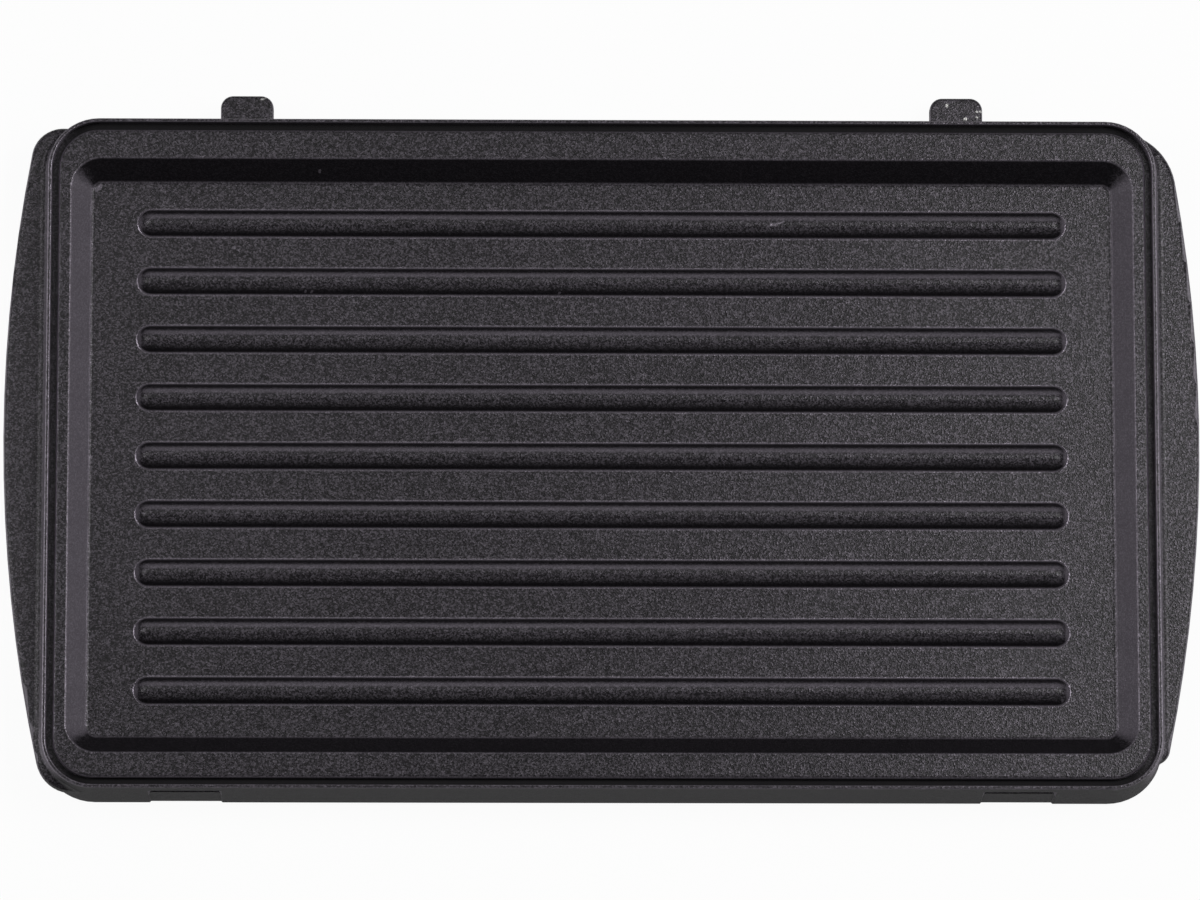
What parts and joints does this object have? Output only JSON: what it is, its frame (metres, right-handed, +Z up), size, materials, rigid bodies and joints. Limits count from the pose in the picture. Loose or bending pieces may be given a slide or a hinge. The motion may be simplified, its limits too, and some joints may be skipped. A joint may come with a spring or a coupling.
{
  "type": "sandwich maker grill plate",
  "caption": "Removable ribbed grill plate of a sandwich maker: one coated casting with sloped tray, sealing rim, side ears, hinge lugs, catch recesses and a heater channel under it.",
  "frame": {"origin": "centre of the plate's footprint, lugs and ears included, on the plane that the skirt stands on", "axes": "+X along the ribs to the right ear, +Y towards the hinge lugs, +Z up out of the tray"},
  "size_m": [0.23, 0.1368, 0.0146],
  "materials": {
    "coated_casting": "grained black non-stick coating on pressure die-cast aluminium"
  },
  "bodies": {
    "root": {"grill_plate": "coated_casting"}
  },
  "joints": []
}
